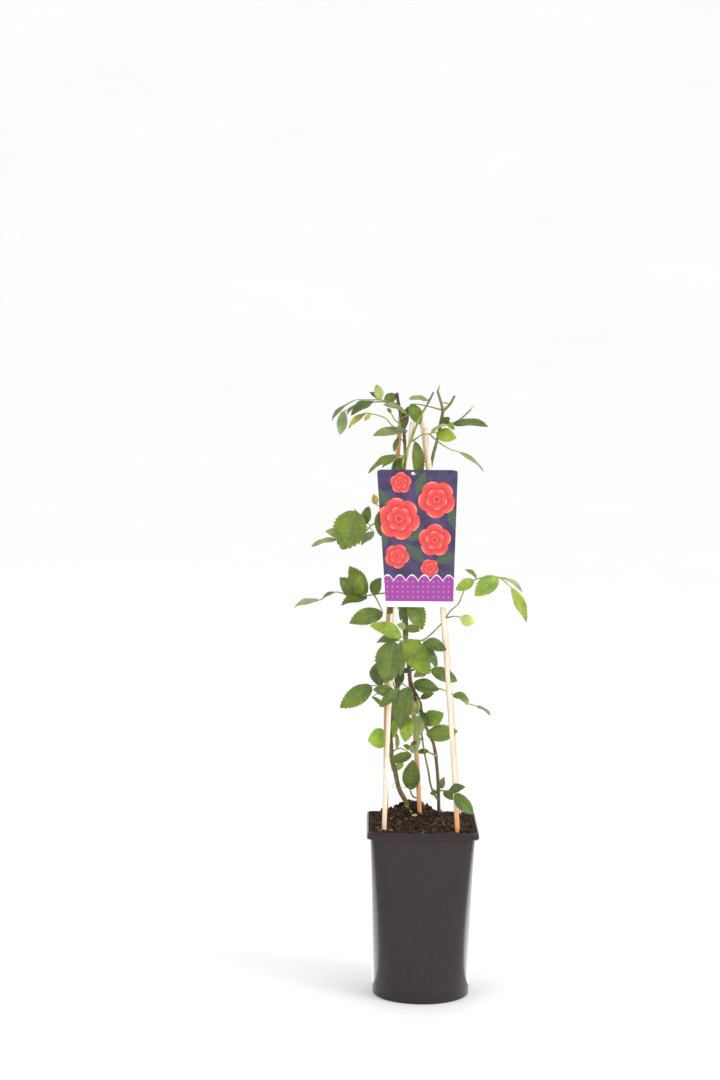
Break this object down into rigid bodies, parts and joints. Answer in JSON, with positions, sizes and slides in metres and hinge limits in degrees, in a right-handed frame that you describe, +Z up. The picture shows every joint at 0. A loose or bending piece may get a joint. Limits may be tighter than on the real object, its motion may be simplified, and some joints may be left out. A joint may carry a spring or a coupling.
{
  "type": "potted climbing rose",
  "caption": "Young climbing rose without flowers, trained up thin canes in a tapered dark plastic pot with a square lip and round base, with a picture card hung on the canes.",
  "frame": {"origin": "centre of the pot's round underside, on the surface that it stands on", "axes": "+Z up along the pot, -Y towards the side that the picture card faces, +X to the right seen from there"},
  "size_m": [0.2876, 0.1675, 0.7614],
  "materials": {
    "pot": "fine matt moulded surface, slightly glossier on the lip",
    "soil": "moist dark potting compost with fibres and chips",
    "cane": "bare split cane, pale with tan edges and orange ends",
    "card": "printed stiff plastic card, semi-gloss",
    "stem_right": "leafy stem, waxy green leaves with duller pale undersides",
    "stem_left": "leafy stem, waxy green leaves with duller pale undersides",
    "shoot": "young yellow-green shoot"
  },
  "bodies": {
    "root": {"pot": "pot", "soil": "soil", "cane_front_left": "cane", "cane_front_right": "cane", "cane_back_left": "cane", "cane_back_right": "cane", "cane_centre": "cane", "label_card": "card", "rose_stem_right": "stem_right", "rose_stem_left": "stem_left", "basal_shoot": "shoot"}
  },
  "joints": []
}
